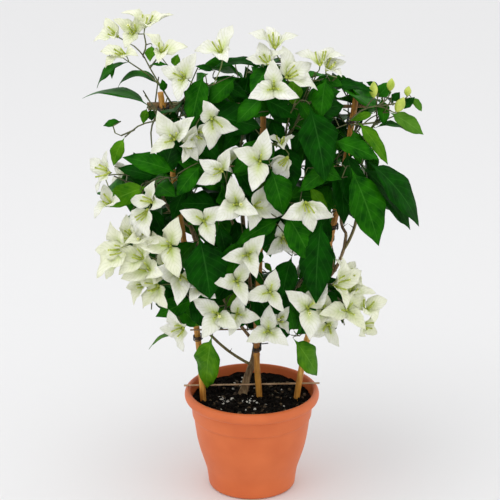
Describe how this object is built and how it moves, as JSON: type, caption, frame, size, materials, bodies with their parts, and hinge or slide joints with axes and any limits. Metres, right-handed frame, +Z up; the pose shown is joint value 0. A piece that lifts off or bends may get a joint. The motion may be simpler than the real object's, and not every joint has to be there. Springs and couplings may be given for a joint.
{
  "type": "potted bougainvillea bush on a cane trellis",
  "caption": "White-flowered bougainvillea bush tied to a small flat cane trellis, standing in a round terracotta-coloured pot.",
  "frame": {"origin": "the middle of the pot's flat underside, on the surface it stands on", "axes": "+Z up, +X along the trellis, -Y to the side that the trellis and the blossom face"},
  "size_m": [0.4284, 0.25, 0.6331],
  "materials": {
    "pot": "moulded terracotta-coloured plastic with a satin sheen",
    "soil": "moist dark potting mix with white perlite",
    "canes": "weathered bamboo cane",
    "bars": "split cane and twig, grey-brown",
    "bark": "fissured grey-brown bark, green on young wood",
    "foliage": "glossy green leaves with white papery bracts"
  },
  "bodies": {
    "root": {"pot": "pot", "soil": "soil", "cane_left": "canes", "cane_centre": "canes", "cane_right": "canes", "bar_rim": "bars", "bar_low": "bars", "bar_high": "bars", "bar_top": "bars", "trunk": "bark", "bough_back_left": "bark", "bough_back_low": "bark", "bough_back_right": "bark", "bough_centre": "bark", "bough_centre_low": "bark", "bough_centre_middle": "bark", "bough_centre_top": "bark", "bough_left": "bark", "bough_left_middle": "bark", "bough_left_top": "bark", "bough_low_left": "bark", "bough_right": "bark", "bough_right_low": "bark", "bough_right_middle": "bark", "bough_right_top": "bark", "back_centre_top": "foliage", "back_left_middle": "foliage", "back_left_top": "foliage", "back_low": "foliage", "back_right_middle": "foliage", "back_right_top": "foliage", "front_centre_low": "foliage", "front_centre_middle": "foliage", "front_centre_top": "foliage", "front_left_low": "foliage", "front_left_middle": "foliage", "front_left_top": "foliage", "front_right_low": "foliage", "front_right_middle": "foliage", "front_right_top": "foliage"}
  },
  "joints": []
}
